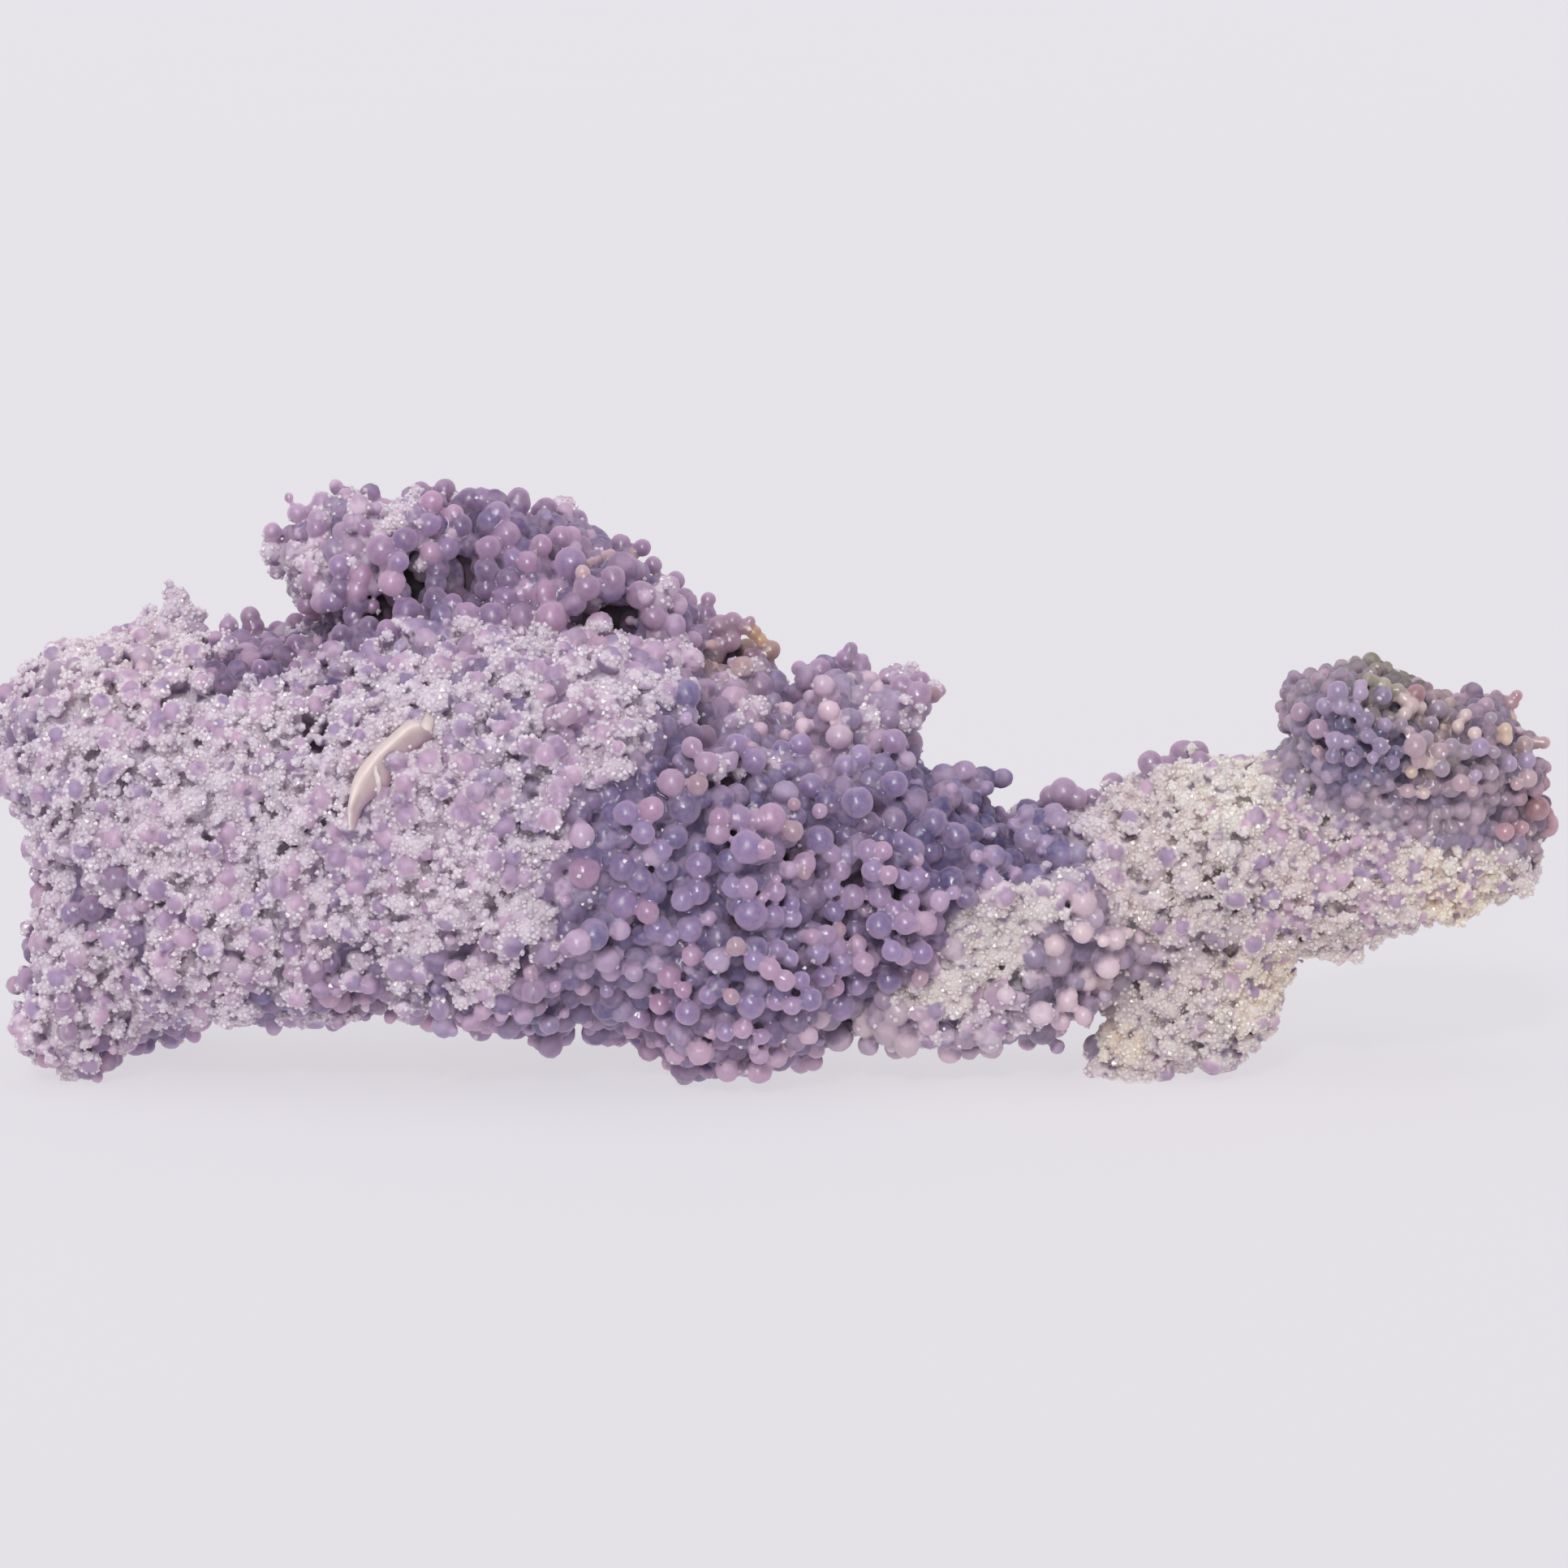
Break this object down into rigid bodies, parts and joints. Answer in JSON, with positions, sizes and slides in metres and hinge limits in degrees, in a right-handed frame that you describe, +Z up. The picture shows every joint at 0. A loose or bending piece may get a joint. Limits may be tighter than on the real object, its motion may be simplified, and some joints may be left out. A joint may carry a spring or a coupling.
{
  "type": "botryoidal chalcedony",
  "caption": "Natural purple chalcedony covered in small grape-like lumps, a long stone with a high mass at one end and a narrow arm at the other, lying on its side.",
  "frame": {"origin": "on the surface that the stone lies on, under the middle of its bounding box", "axes": "+X along the stone towards the narrow arm, +Y away from its best side, +Z up"},
  "size_m": [0.16, 0.0428, 0.0602],
  "materials": {
    "chalcedony": "waxy purple chalcedony, sugary with fine quartz in places"
  },
  "bodies": {
    "root": {"chalcedony": "chalcedony"}
  },
  "joints": []
}
